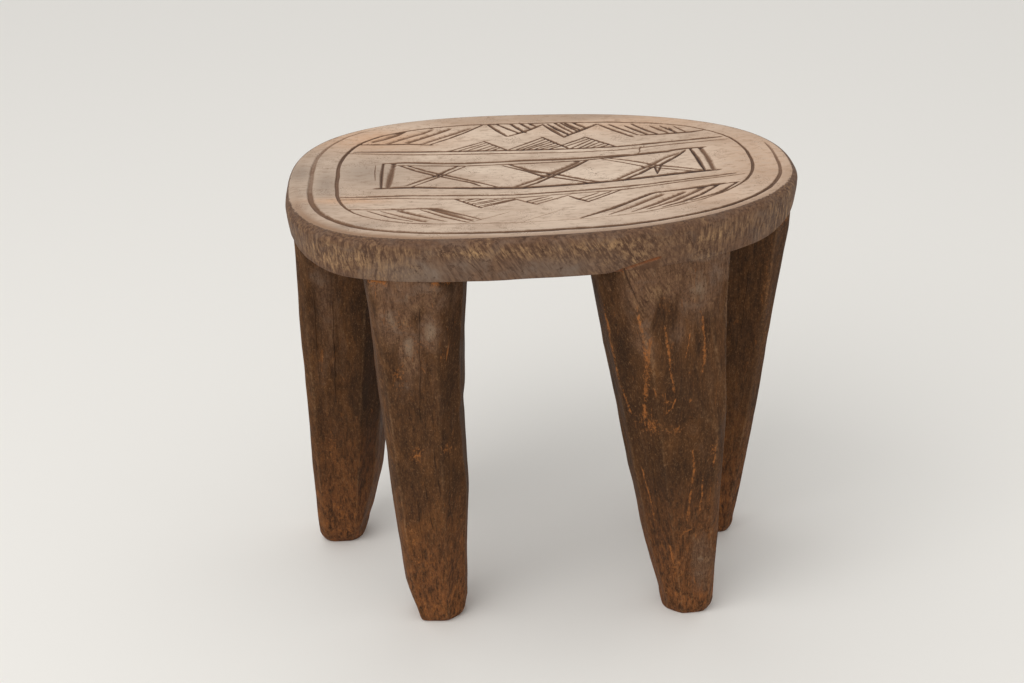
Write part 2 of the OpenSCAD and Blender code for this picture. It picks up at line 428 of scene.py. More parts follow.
backTriangles = [
    ("thin", [(-71, 51), (-43, 70)]),
    ("middling", [(-43, 70), (-27, 49)]),
    (
        "thin",
        [(-65, 50), (-42, 66)], [(-58, 50), (-39, 64)], [(-51, 49), (-37, 60)], [(-46, 48), (-34, 56)],
        [(-40, 48), (-31, 54)], [(-24, 50), (4, 73)],
    ),
    ("middling", [(4, 73), (21, 47)]),
    (
        "thin",
        [(-22, 46), (6, 69)], [(-16, 47), (8, 65)], [(-10, 48), (10, 62)], [(-4, 48), (13, 59)],
        [(1, 48), (15, 55)], [(7, 47), (17, 52)], [(17, 53), (38, 69)],
    ),
    ("middling", [(38, 69), (59, 43)]),
    (
        "thin",
        [(21, 51), (40, 65)], [(24, 46), (42, 63)], [(29, 44), (44, 59)], [(34, 44), (47, 55)],
        [(39, 44), (50, 51)], [(44, 43), (54, 48)],
    ),
]

frontTriangles = [
    ("middling", [(-73, -59), (-56, -80)]),
    (
        "thin",
        [(-56, -80), (-28, -65)], [(-57, -77), (-30, -64)], [(-59, -73), (-38, -64)],
        [(-61, -71), (-43, -63)], [(-64, -67), (-51, -61)], [(-67, -64), (-58, -60)],
    ),
    ("middling", [(-28, -65), (-15, -78)]),
    ("thin", [(-15, -78), (0, -68), (11, -61)], [(-18, -74), (-2, -65)], [(-21, -70), (-7, -63)]),
    ("middling", [(11, -64), (23, -78)]),
    ("thin", [(23, -78), (50, -56)], [(21, -74), (42, -58)], [(18, -70), (33, -59)]),
    ("scratch", [(-62, -112), (-35, -92)], [(-27, -116), (4, -92)]),
]

frontFields = [
    ("middling", [(-151, -78), (-129, -79), (-100, -79), (-87, -79), (-72, -93), (-58, -107)]),
    ("thin", [(-138, -82), (-122, -98), (-108, -107)]),
    ("opening", [(-128, -83), (-110, -98), (-98, -107)]),
    ("closing", [(-114, -83), (-98, -97), (-83, -110)]),
    ("middling", [(-99, -82), (-82, -100), (-67, -114)]),
    ("broad", [(-90, -81), (-77, -94), (-65, -107)]),
    ("thin", [(-94, -81), (-77, -98), (-63, -112)]),
    ("bold", [(15, -114), (38, -97), (56, -81), (69, -70), (74, -67), (88, -65), (97, -64)]),
    ("deep", [(92, -65), (105, -62), (119, -59), (127, -58)]),
    ("thin", [(122, -59), (138, -57)]),
    ("opening", [(33, -112), (55, -93), (78, -72)]),
    (
        "closing",
        [(95, -70), (84, -80), (70, -93), (52, -107)], [(109, -65), (97, -77), (85, -89), (63, -104)],
    ),
    ("middling", [(122, -60), (106, -79), (90, -93), (74, -102)], [(136, -58), (120, -77), (97, -91)]),
]

# Border grooves: half sizes, middle and squareness, then width, depth and darkness of the painted shade in
# them at eight places round the seat, from the right end round by the back
grooves = {
    "outer": {
        "half": (177.3, 132.3),
        "middle": (3, 6.8),
        "squareness": (3.0, 2.7, 3.3, 2.3),
        "width": (3, 2.4, 1.6, 2.6, 4.8, 5.6, 5.8, 4.6),
        "depth": (0.9, 0.5, 0.3, 0.6, 1.3, 1.9, 2.2, 1.7),
        "dark": (0.36, 0.36, 0.25, 0.3, 0.3, 0.58, 0.95, 0.85),
    },
    "inner": {
        "half": (157.8, 113.5),
        "middle": (3.2, 8.9),
        "squareness": (2.9, 2.85, 3.6, 2.1),
        "width": (2.8, 2.6, 2.4, 2.8, 3.6, 2.6, 1.6, 2.2),
        "depth": (1.2, 1.2, 1.2, 1.2, 1.3, 1.0, 0.5, 0.9),
        "dark": (0.55, 0.65, 0.8, 0.65, 0.5, 0.6, 0.3, 0.5),
    },
}


def roundSeat(values, x, y):
    # value at a direction from the middle, eased between eight places
    count = len(values)
    place = math.atan2(y / halfWidth, x / halfLength) / (2 * math.pi) * count % count
    i = int(place) % count
    return values[i] + (values[(i + 1) % count] - values[i]) * eased(place - int(place))


def onSeat(p):
    a = math.radians(carving["turn"])
    return Vector((
        carving["shift"][0] + p[0] * math.cos(a) - p[1] * math.sin(a),
        carving["shift"][1] + p[0] * math.sin(a) + p[1] * math.cos(a),
    ))


def about(rand, spread):
    return rand.uniform(1 - spread, 1 + spread)


def wander(rand, reach):
    return Vector((rand.uniform(-reach, reach), rand.uniform(-reach, reach)))


def carvedLine(kind, points, rand):
    width, depth, start, end, dark = carving["kinds"][kind]
    corners = [onSeat(p) for p in points]
    path = corners[:1]
    for p, q in zip(corners, corners[1:]):
        pieces = math.ceil((q - p).length / carving["longest"])
        path += [p.lerp(q, i / pieces) for i in range(1, pieces + 1)]
    if len(path) == 2:
        path.insert(1, path[0].lerp(path[1], 0.5))
    amounts = [about(rand, carving["uneven"]) for p in path]
    amounts[0] *= start
    amounts[-1] *= end
    tone = dark * about(rand, carving["toneUneven"])
    return {
        "points": path, "widths": [width * a for a in amounts], "depths": [depth * a for a in amounts],
        "tones": [tone] * len(path), "cuts": (-1, 0, 1),
    }


def grooveLine(spec, rand):
    path = evenly(oval(*spec["half"], spec["squareness"], spec["middle"]), carving["grooveStep"])
    rows = {"points": path, "widths": [], "depths": [], "tones": []}
    for p in path:
        amount = about(rand, carving["grooveUneven"])
        for row, name in (("widths", "width"), ("depths", "depth"), ("tones", "dark")):
            rows[row].append(roundSeat(spec[name], p.x, p.y) * amount)
        p += wander(rand, carving["grooveWander"])
    line = {name: row + row[:1] for name, row in rows.items()}
    line["cuts"] = (-1, -0.5, 0.5, 1)
    return line


def seatLines():
    rand = random.Random(carving["seed"])
    lines = [grooveLine(spec, rand) for spec in grooves.values()]
    for kind, *rows in (
        panelLines + crosses + longPairs + backFields + backTriangles + frontTriangles + frontFields
    ):
        lines += [carvedLine(kind, points, rand) for points in rows]
    return lines


seatShape = {
    "cell": 4,
    "underCell": 5,
    "markCell": 5,
    # how far outside its cells a line is looked for
    "cutReach": 1.45,
    "rimStep": 6,
    "rimWidth": 9,
    "rimAngles": (0, 15, 30, 45, 60, 75),
    # how far the rounding starts below the worn rim, and inside it
    "rimSink": 0.3,
    "rimStart": 0.8,
    # the band's least inset, and the heights of its last two rings over the underside
    "bandLeast": 0.2,
    "bandEnd": (0.9, 0.1),
    "turnIn": 1.2,
    # inset of the underside's sheet beyond the band's lean, and how far it stays up
    "underInset": 6,
    "underUp": 0.4,
    # each of these at eight places, from the right end round by the back
    "rounding": (6.5, 5, 4, 5, 7, 7, 6.5, 7),
    "roundingDrop": (5, 4, 3.5, 4, 6, 5, 4.5, 5),
    "wornDown": (1.6, 1, 0.6, 1, 2.6, 1.2, 0.5, 0.8),
    # how far the band's skin colour reaches in over the rim; at the back it also paints the rim's shade as
    # a thin dark line
    "bandReach": (3.6, 3.8, 3.5, 3.8, 1.5, 7, 6.8, 7),
    "lip": (0.3, 0.1, 0.1, 0.1, 0.5, 1.2, 0.6, 0.65),
    "wornWidth": 15,
    "bandRings": 12,
    "bandScoop": (26, 26, 34),
    "bandHewn": 0.7,
    "underScoop": (34, 18, 20),
    "underHewn": 1.1,
    # height and size of the top's unevenness
    "uneven": (0.35, 45),
    "lipWidth": 4,
    "raggedEdge": 1.6,
    "weld": 0.4,
    "sharp": 34,
    # the band's marks are cut in front of this y and below this z
    "marksIn": (-60, 338),
    # worn spots of the top, in x and y, and of the band, in x and z: middle, reach, amount
    "top": {
        "pale": [
            (10, -50, 110, 50, 0.7), (60, 0, 90, 50, 0.8), (0, 60, 100, 40, 0.6), (-40, 12, 34, 22, 1.2),
            (-100, 128, 40, 14, 0.6), (10, 98, 110, 16, 0.8),
        ],
        "greyed": [
            (-134, 16, 30, 32, 0.8), (-176, 0, 26, 90, 0.5), (-163, -8, 12, 40, 0.9), (-182, 16, 10, 28, 1),
            (-84, 30, 50, 14, 0.3), (20, 130, 140, 9, 0.8), (20, -124, 150, 8, 0.3),
            (-144, -106, 26, 7, 0.7), (160, 0, 20, 60, 0.5),
        ],
        "warm": [
            (-124, 92, 50, 24, 1), (-146, -48, 30, 7, 1), (165, 10, 36, 90, 0.55), (90, 112, 90, 22, 0.6),
            (-30, 128, 120, 12, 0.4), (120, -60, 40, 30, 0.4),
        ],
    },
    "band": {
        "pale": [
            (-150, 330, 34, 10, 1), (-118, 325, 26, 12, 0.6), (-60, 336, 60, 4, 0.8), (36, 335, 60, 5, 0.9),
            (54, 326, 24, 8, 0.6), (120, 331, 40, 8, 0.6), (168, 329, 20, 12, 0.8), (110, 318, 12, 8, 0.8),
        ],
        "greyed": [(-98, 320, 26, 10, 1), (-60, 326, 16, 8, 0.6), (0, 321, 34, 9, 0.8)],
    },
    # the leg's wood below the undercut at the front right
    "undercut": [(36, 311.5), (52, 316), (75, 321)],
}

# Marks on the front of the band, with x and z along the points
bandMarks = [
    ("rust", 2.8, 1.3, [(36, 311.5), (52, 316), (75, 321)]),
    ("dark", 1.3, 0.8, [(47, 315.5), (50, 311)]),
    ("dark", 1.2, 0.5, [(-61, 330), (-54, 324), (-50, 317)]),
    ("dark", 1.1, 0.3, [(-30, 333), (-22, 320)]),
    ("dark", 1.1, 0.2, [(-12, 334), (-3, 320)]),
    ("dark", 1.2, 0.4, [(96, 334), (101, 322), (100, 316)]),
]


def sheetInside(cell, inset, nearest=0.01):
    # a grid cut along the outline, inset by some millimetres
    bm = bmesh.new()
    bmesh.ops.create_grid(
        bm, x_segments=round(block["length"] / cell), y_segments=round(block["width"] / cell),
        size=1, matrix=Matrix.Diagonal((halfLength + 1, halfWidth + 1, 1, 1)),
    )
    gone = [v for v in bm.verts if insetOf(v) < -2 * cell]
    bmesh.ops.delete(bm, geom=gone, context="VERTS")
    for p in evenly(edgeLine, seatShape["rimStep"]):
        spot, out = nearestEdge(p.x, p.y)
        bmesh.ops.bisect_plane(
            bm, geom=bm.verts[:] + bm.edges[:] + bm.faces[:], dist=nearest,
            plane_co=(spot - out * inset).to_3d(), plane_no=out.to_3d(), clear_outer=True,
        )
    return bm


def rimZ(x, y, inset):
    worn = roundSeat(seatShape["wornDown"], x, y)
    share = max(0, 1 - inset / seatShape["wornWidth"])
    return topZ(x, y) - worn * share ** 2


def bandLean(z):
    top = block["height"] - block["thickness"] / 3
    low = block["height"] - block["thickness"]
    return block["lean"] * max(0, (top - z) / (top - low)) ** 1.2


def bandInset(x, y, z):
    # the band leans in and is hewn a little unevenly
    hewn = seatShape["bandHewn"] * scoop(x, y, z, seatShape["bandScoop"], 2)
    return bandLean(z) + seatShape["bandLeast"] + hewn


markShape = {
    "seed": 5,
    "step": 9,
    "wander": 0.5,
    "faintest": 0.3,
    "widths": (0.7, 1.2),
    "depths": (0.6, 1.2),
    "tones": (0.45, 0.95),
}


def marksOf(marks, kind):
    # thin wavering lines; the dark ones carry a painted shade, fainter where they are shallow
    rand = random.Random(markShape["seed"])
    made = []
    for name, width, depth, points in marks:
        if name != kind:
            continue
        path = evenly([Vector(p) for p in points], markShape["step"], closed=False)
        for p in path[1:-1]:
            p += wander(rand, markShape["wander"])
        tone = 1 if kind == "rust" else min(1, markShape["faintest"] + depth)
        line = {"points": path, "cuts": (-1, 0, 1)}
        for row, amount in (("widths", width), ("depths", depth), ("tones", tone)):
            line[row] = [amount * rand.uniform(*markShape[row]) for p in path]
        made.append(line)
    return made


def scoreMarks(bm, marks, keep, layer, cell):
    # marks scored into the front of a piece
    flat = lambda co: Vector((co.x, co.z))
    plane = lambda p: Vector((p.x, 0, p.y))

    def sinkIn(v, down):
        v.co -= v.normal * down
    for kind, toneLayer in (("dark", "groove"), ("rust", "rust")):
        lines = marksOf(marks, kind)
        bins = scoreLines(bm, lines, flat, plane, keep, cell)
        bm.normal_update()
        sinkLines(bins, lines, flat, sinkIn, (layer["depth"], layer[toneLayer]))


def joinUnderside(bm, band):
    # the underside is a coarser sheet, turned over and joined on
    under = sheetInside(seatShape["underCell"], block["lean"] + seatShape["underInset"])
    for v in under.verts:
        hewn = seatShape["underHewn"] * scoop(v.co.x, v.co.y, 0, seatShape["underScoop"], 3)
        v.co.z = underZ(v.co.x) + seatShape["underUp"] + hewn
    bmesh.ops.reverse_faces(under, faces=under.faces[:])
    sheet = bpy.data.meshes.new("underside")
    under.to_mesh(sheet)
    under.free()
    before = set(bm.faces)
    bm.from_mesh(sheet)
    bpy.data.meshes.remove(sheet)
    for f in bm.faces:
        if f not in before:
            for v in f.verts:
                v[band] = 1
    bmesh.ops.bridge_loops(bm, edges=[e for e in bm.edges if e.is_boundary])


def makeSeat():
    bm = sheetInside(seatShape["cell"], seatShape["rimWidth"])
    layer = newLayers(bm, "depth", "groove", "band", "lip", "pale", "greyed", "warm", "rust", "below")
    depthLayer, dark, band = layer["depth"], layer["groove"], layer["band"]
    lines = seatLines()
    flat = lambda co: co.xy
    reach = seatShape["cell"] * seatShape["cutReach"]
    bins = scoreLines(bm, lines, flat, lambda p: p.to_3d(), lambda v: True, reach)
    print("seat scored:", len(bm.faces), "faces")

    # height of the top, then the carved lines sunk into it
    uneven, size = seatShape["uneven"]
    for v in bm.verts:
        x, y = v.co.xy
        inset = insetOf(v)
        v.co.z = rimZ(x, y, inset) - uneven + uneven * ripple(x, y, 0, size, 1)
        beyond = (inset - roundSeat(seatShape["bandReach"], x, y) - 2) / seatShape["lipWidth"]
        v[layer["lip"]] = roundSeat(seatShape["lip"], x, y) * math.exp(-beyond ** 2)
        for name in ("pale", "greyed", "warm"):
            v[layer[name]] = spotted(seatShape["top"][name], x, y)

    def sinkTop(v, down):
        v.co.z -= down
    sinkLines(bins, lines, flat, sinkTop, (depthLayer, dark))

    # the rim and the band, ring by ring outwards and down
    border = [e for e in bm.edges if e.is_boundary]
    edgeVerts = {v for e in border for v in e.verts}
    bmesh.ops.remove_doubles(bm, verts=list(edgeVerts), dist=seatShape["weld"])
    border = [e for e in bm.edges if e.is_boundary]
    place = bm.verts.layers.int.new("place")
    spots = []
    for v in {v for e in border for v in e.verts}:
        spot, out = nearestEdge(v.co.x, v.co.y)
        v[place] = len(spots)
        spots.append((spot, out, v.co.z))

    def nextRing(border, where):
        made = bmesh.ops.extrude_edge_only(bm, edges=border)["geom"]
        line = seatShape["undercut"]
        for v in vertsOf(made):
            spot, out, z = spots[v[place]]
            inset, height = where(spot, z)
            flatSpot = spot - out * inset
            v.co = Vector((flatSpot.x, flatSpot.y, height))
            reach = roundSeat(seatShape["bandReach"], spot.x, spot.y)
            v[band] = within(reach + 1 - inset, seatShape["raggedEdge"])
            v[depthLayer] = v[dark] = 0
            for name, places in seatShape["band"].items():
                v[layer[name]] += (spotted(places, flatSpot.x, height) - v[layer[name]]) * v[band]
            inside = line[0][0] < flatSpot.x < line[-1][0] + 1 and flatSpot.y < 0
            v[layer["below"]] = float(inside and height < heightOn(line, flatSpot.x) - 0.5)
        return edgesOf(made)

    def roundingAt(spot, angle):
        # along the rounding of the rim, from its start on the top down to the band
        r = roundSeat(seatShape["rounding"], spot.x, spot.y)
        drop = roundSeat(seatShape["roundingDrop"], spot.x, spot.y)
        edge = rimZ(spot.x, spot.y, r) - seatShape["rimSink"]
        return r * (1 - math.sin(angle)), edge - drop * (1 - math.cos(angle)), r

    def start(spot, z):
        edge, r = roundingAt(spot, 0)[1:]
        return r + seatShape["rimStart"], (z + edge) / 2

    endUp, lastUp = seatShape["bandEnd"]

    def turnedUnder(spot, z):
        low = underZ(spot.x)
        return bandInset(spot.x, spot.y, low) + seatShape["turnIn"], low + lastUp

    border = nextRing(border, start)
    for angle in seatShape["rimAngles"]:
        border = nextRing(border, lambda spot, z: roundingAt(spot, math.radians(angle))[:2])
    rings = seatShape["bandRings"]
    for step in range(rings + 1):
        share = step / rings

        def down(spot, z):
            above = roundingAt(spot, math.pi / 2)[1]
            height = above + (underZ(spot.x) + endUp - above) * share
            return bandInset(spot.x, spot.y, height) * min(1, 0.2 + share * 4), height
        border = nextRing(border, down)
    border = nextRing(border, turnedUnder)

    def onBand(v):
        return v.co.y < seatShape["marksIn"][0] and v.co.z < seatShape["marksIn"][1]
    scoreMarks(bm, bandMarks, onBand, layer, seatShape["markCell"])
    joinUnderside(bm, band)
    return bm


def finishPiece(bm, name, material, node, sharp, margin=0.02):
    # the piece stays inside the CAD part by the margin
    bmesh.ops.recalc_face_normals(bm, faces=bm.faces[:])
    for v in bm.verts:
        v.co.x = max(-halfLength + margin, min(halfLength - margin, v.co.x))
        v.co.y = max(-halfWidth + margin, min(halfWidth - margin, v.co.y))
    bmesh.ops.triangulate(bm, faces=[f for f in bm.faces if len(f.verts) > 4])
    for f in bm.faces:
        f.smooth = True
    for e in bm.edges:
        e.smooth = len(e.link_faces) != 2 or e.calc_face_angle(0) < math.radians(sharp)
    bmesh.ops.scale(bm, vec=(mm, mm, mm), verts=bm.verts[:])
    piece = linked(bm, name, material)
    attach(piece, "root")
    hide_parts(node)
    print(name, "made:", len(piece.data.polygons), "faces")


# Each leg's middle and size at the seat, its foot's middle and width, its turn and the
# share cut off each corner, from front left round by front right, with the painted shade
# that darkens those facets, lighter where it is below zero. ease: added to the right, back, left and front
# faces.
# hollows: face, height, reach and depth. trims: direction, height at its start and amount
# at the floor. sole: height and inset of its rounding. patinaAndSheen (grey patina with a painted sheen),
# shade (painted shade) and rust: spots in x and z. undercuts: stretches of x where the leg steps back under
# the band
legs = {
    "front_left": {
        "top": (-97, -107), "size": (72, 76), "foot": (-92, -60), "ankle": 43.1,
        "turn": -6, "corners": (0.14, 0.27, 0.25, 0.25), "cornerShade": (-0.2, 0.4, 0.3, 0.3),
        "ease": (0.6, 0, 1.2, 0), "trims": [(195, 38, 8)], "sole": (12, 5),
        "hollows": [
            (0, 245, 45, 3.2), (0, 192, 10, 1.2), (0, 180, 45, 3), (0, 118, 20, -0.8), (2, 128, 32, -0.8),
            (2, 45, 18, -1), (2, 318, 12, -5),
        ],
        "undercuts": [(-140, -118), (-87, -60)],
        "patinaAndSheen": [
            (-104, 302, 18, 16, 1.1), (-89, 274, 9, 15, 1.3), (-104, 260, 8, 20, 1.2),
            (-114, 284, 12, 22, 1), (-84, 300, 16, 14, 0.9), (-106, 236, 8, 16, 0.5),
        ],
        "shade": [(-74, 240, 8, 90, 0.6), (-100, 118, 20, 26, 0.4)],
        "rust": [
            (-103, 165, 6, 8, 0.6), (-113, 234, 6, 14, 0.4), (-110, 280, 12, 7, 0.3), (-79, 169, 6, 6, 0.5),
            (-111, 84, 7, 14, 0.4), (-104, 62, 5, 10, 0.45), (-86, 24, 10, 8, 0.4), (-98, 262, 10, 6, 0.3),
        ],
        "marks": [
            ("dark", 1.5, 0.7, [(-95, 292), (-96.5, 270), (-96.8, 246), (-98.7, 200)]),
            ("dark", 1.4, 0.5, [(-98.5, 186), (-99, 164), (-97, 126.5), (-93, 96)]),
            ("dark", 1.3, 0.5, [(-89.5, 206), (-88.9, 150), (-86, 126)]),
            ("dark", 1.1, 0.4, [(-104, 120), (-102, 84), (-103, 60)]),
            ("dark", 1.1, 0.4, [(-86, 92), (-87, 40)]),
            ("dark", 1.3, 0.4, [(-79, 176), (-80, 120), (-78, 90)]),
        ],
    },
    "front_right": {
        "top": (75, -105), "size": (98, 82), "foot": (103, -66), "ankle": 39.6,
        "turn": 6, "corners": (0.33, 0.10, 0.20, 0.30), "cornerShade": (0.55, 0, 0.3, 0.4),
        "ease": (0, 0, 2.6, 0.5), "trims": [(188, 60, 5)], "sole": (13, 5),
        "hollows": [
            (2, 324, 17, -6), (2, 280, 30, -2), (2, 175, 34, -4.2), (2, 10, 22, -3.2), (0, 320, 45, -4.5),
        ],
        "undercuts": [(24, 37)],
        "patinaAndSheen": [
            (60, 298, 14, 22, 1.1), (106, 292, 16, 26, 1.05), (84, 300, 14, 14, 0.9),
            (113, 54, 8, 28, 1), (64, 262, 8, 20, 0.6), (90, 262, 10, 14, 0.5),
        ],
        "shade": [(88, 200, 26, 34, 0.8), (96, 150, 22, 30, 0.7), (50, 230, 8, 60, 0.3)],
        "rust": [
            (66, 240, 3, 24, 0.6), (70, 183, 9, 9, 0.62), (88, 180, 8, 5, 0.45), (85, 240, 2.5, 16, 0.4),
            (109, 246, 2.5, 14, 0.4), (118, 158, 2.5, 12, 0.4), (82, 205, 5, 5, 0.5), (93, 46, 5, 12, 0.5),
            (92, 20, 8, 6, 0.4), (99, 205, 2.5, 3, 0.6), (80, 284, 6, 8, 0.35),
        ],
        "marks": [
            ("dark", 1.5, 1.1, [(49, 316), (52, 306), (58.5, 290)]),
            ("rust", 4.4, 0.5, [
                (58.5, 288), (60, 273), (63.6, 262), (65.7, 241), (66.6, 213), (65.9, 183),
            ]),
            ("rust", 3, 0.3, [(79, 268), (82, 246), (84.7, 224), (87, 212)]),
            ("rust", 2.6, 0.3, [(88, 208), (85, 199), (81, 195)]),
            ("rust", 3, 0.3, [(107.6, 270), (109.8, 244), (108, 226)]),
            ("rust", 2.2, 0.3, [(98, 258), (95, 240)]),
            ("rust", 2.4, 0.3, [(121, 168), (118.3, 145)]),
            ("rust", 3, 0.3, [(102, 160), (104.4, 146), (102, 116), (100.5, 94)]),
            ("rust", 2.2, 0.3, [(118, 130), (116, 104)]),
            ("rust", 2, 0.3, [(66, 140), (72, 116), (77, 88)]),
            ("rust", 2.4, 0.3, [(111, 136), (110, 100)]),
            ("rust", 3, 0.4, [(94, 76), (98, 84), (104, 86)]),
            ("rust", 2.2, 0.2, [(88, 70), (91, 52)]),
            ("rust", 2.6, 0.4, [(36.5, 284), (38.7, 268), (44, 238), (48.1, 217), (53, 203), (56.5, 191)]),
            ("dark", 1.6, 0.8, [(98, 190), (101, 189)]),
            ("dark", 1.1, 0.4, [(72, 160), (76, 120), (80, 90)]),
        ],
    },
    "back_left": {
        "top": (-153, 48), "size": (88, 116), "foot": (-171, 73), "ankle": 45.8,
        "turn": 0, "corners": (0.14, 0.25, 0.22, 0.22), "cornerShade": (0, 0.6, 0.3, 0.2),
        "ease": (2.6, 0, 2, 0.5), "trims": [(345, 60, 8), (190, 18, 6)], "sole": (20, 8),
        "hollows": [(2, 300, 40, -3), (2, 38, 40, -6), (0, 200, 60, 1.5), (0, 80, 40, -4.4)],
        "undercuts": [],
        "patinaAndSheen": [(-172, 240, 12, 60, 0.5)],
        "shade": [(-136, 200, 12, 120, 1), (-142, 316, 26, 22, 1.2)],
        "rust": [(-174, 100, 6, 26, 0.35), (-172, 34, 10, 16, 0.35)],
        "marks": [
            ("dark", 1.2, 0.6, [(-164.8, 242.6), (-166.5, 196), (-167.9, 148)]),
            ("dark", 1.1, 0.4, [(-179, 250), (-180, 160)]),
        ],
    },
    "back_right": {
        "top": (153, 47), "size": (90, 116), "foot": (138, 63), "ankle": 43.1,
        "turn": 0, "corners": (0.25, 0.14, 0.22, 0.22), "cornerShade": (0.5, 0, 0.2, 0.3),
        "ease": (-0.6, 0, 0, 0), "trims": [], "sole": (12, 4),
        "hollows": [(0, 180, 40, 0.8)],
        "undercuts": [],
        "patinaAndSheen": [],
        "shade": [(140, 220, 14, 120, 0.6)],
        "rust": [(186, 294, 6, 10, 0.7), (176, 240, 4, 50, 0.35), (142, 24, 8, 10, 0.4)],
        "marks": [
            ("dark", 1.1, 0.4, [(160, 260), (156, 200)]),
        ],
    },
}
legShape = {
    "around": 168,
    "rings": 104,
    "footRings": (0, 0.8, 2, 3.6, 5.4, 7.5, 10),
    "topRings": (-0.6, 0, 0.9, 2, 4),
    "chamfer": 12,
    "belly": 2,
    "reach": 335,
    "intoSeat": 9,
    # sharpness of the corners, with its share at the floor and where it is full
    "sharpness": (60, 0.25, 30),
    "scoop": (15, 15, 75),
    "scoopDepth": 1.0,
    # least cut, then amount, size, squeeze in height and seed of its unevenness
    "cut": 0.3,
    "uneven": ((0.4, 30, 0.3, 0), (0.3, 9, 0.5, 9)),
    "evenFoot": 16,
    "ease": 0.9,
    # height, reach and amount by which the left face widens under the seat
    "flare": (285, 28, 3),
    "trimCorner": 0.15,
    # start above the underside, reach and amount by which the top tucks in
    "tuck": (0.9, 3, 2.5),
    "arris": 1.6,
    # bend at which the block's skin and a hewn face make an arris
    "bend": (0.8, 0.3),
    "soft": 1.5,
    # how far below the underside the leg turns flush with the band, and over what reach
    "flush": (26, 20),
    # depth, softness, height and rust of the undercuts
    "undercut": (2.5, 4, 5, 0.9),
    "bandGap": 0.1,
    # size and seed of the patches in which the arrises are worn and take a painted highlight
    "worn": (22, 5),
    # patina with painted sheen on the flush top, and how much of either the painted shade hides
    "patinaAndSheen": (0.8, 0.7),
    "markCell": 4,
    "sharp": 50,
    "seeds": (20, 3),
}
# a ray that meets a face at less than grazing never reaches it
grazing = 0.05
never = 1e6


def blockRing(z):
    # outline of the block at a height, and its outward directions
    fullest = block["fullest"] * block["height"]
    below = block["height"] - block["thickness"]
    share = within(z, fullest)
    ring = (floorArray + (edgeArray - floorArray) * share)[::4]
    across = outward(ring)
    lean = [bandLean(underZ(x)) for x in ring[:, 0]]
    start, reach, amount = legShape["tuck"]
    inset = np.array(lean) * within(z - fullest, below - fullest)
    inset = (inset + amount * within(z - below - start, reach))[:, None]
    return ring - across * inset, across


def alongRays(rays, out, distance):
    # distance along each ray to a flat face, and how straight the ray meets it
    toward = rays @ out
    safe = np.maximum(toward, grazing)
    return np.where(toward > grazing, distance / safe, never), toward


def legRing(leg, z, rays):
    # distance from the leg's middle to its skin along each ray, whether that is the
    # skin of the block, how near it is to an arris and how much painted shade its facet takes
    chamfer, reach = legShape["chamfer"], legShape["reach"]
    along = max(0, (z - chamfer) / (reach - chamfer))
    middle = Vector(leg["foot"]).lerp(Vector(leg["top"]), along)
    belly = legShape["belly"] * math.sin(math.pi * min(1, along))
    soleHeight, soleInset = leg["sole"]
    inset = 2 * soleInset * max(0, 1 - z / soleHeight) ** 2
    w, d = [leg["ankle"] + (size - leg["ankle"]) * along + belly - inset for size in leg["size"]]
    start, height, amount = legShape["flare"]
    flare = amount * max(0, (z - start) / height) ** 2
    planes = [(0, w / 2), (90, d / 2), (180, w / 2 + flare), (270, d / 2)]
    planes = [
        (angle, distance + legShape["ease"] + more)
        for (angle, distance), more in zip(planes, leg["ease"])
    ]
    for face, height, spread, amount in leg["hollows"]:
        angle, distance = planes[face]
        planes[face] = (angle, distance - amount * math.exp(-((z - height) / spread) ** 2))
    tones = [0] * len(planes)
    for angle, corner, tone in zip((225, 315, 45, 135), leg["corners"], leg["cornerShade"]):
        planes.append((angle, (w / 2 + d / 2 - corner * min(w, d)) / math.sqrt(2) + legShape["ease"]))
        tones.append(tone)
    for angle, start, amount in leg["trims"]:
        a = math.radians(angle)
        corner = (w * abs(math.cos(a)) + d * abs(math.sin(a))) / 2
        corner -= legShape["trimCorner"] * w * abs(math.sin(2 * a))
        planes.append((angle, corner + inset / 2 + 1 - amount * max(0, 1 - z / start) ** 1.2))
    tones += [0] * len(leg["trims"])
    sharpness, share, full = legShape["sharpness"]
    power = sharpness * (share + (1 - share) * within(z, full))
    total = np.zeros(len(rays))
    nearest = np.full(len(rays), never)
    tone = np.zeros(len(rays))
    for (angle, distance), shade in zip(planes, tones):
        turned = math.radians(angle + leg["turn"])
        span, toward = alongRays(rays, np.array((math.cos(turned), math.sin(turned))), distance)
        total += np.where(toward > grazing, (np.maximum(toward, grazing) / distance) ** power, 0)
        tone = np.where(span < nearest, shade, tone)
        nearest = np.minimum(nearest, span)
    hewn = total ** (-1 / power)
    arris = np.clip((1 - hewn / nearest) * power * legShape["arris"], 0, 1) ** 2
    ring, across = blockRing(z)
    away = ((ring - np.array(middle)) * across).sum(1)
    limit = alongRays(rays, across.T, away)[0].min(1)
    soft = legShape["soft"]
    onBlock = np.clip(0.5 - 0.5 * (limit - hewn) / soft, 0, 1)
    skin = limit * onBlock + hewn * (1 - onBlock) - soft * onBlock * (1 - onBlock)
    # the block's skin and a hewn face make an arris only where they meet at an angle
    gap = limit - hewn
    bend = np.abs(np.roll(gap, -1) - np.roll(gap, 1)) / 2
    full, least = legShape["bend"]
    meets = np.clip(1 - np.abs(gap) / 2, 0, 1) * np.clip(bend / full - least, 0, 1)
    arris = np.maximum(arris, meets)
    return middle, skin, onBlock, arris, tone * (1 - onBlock)


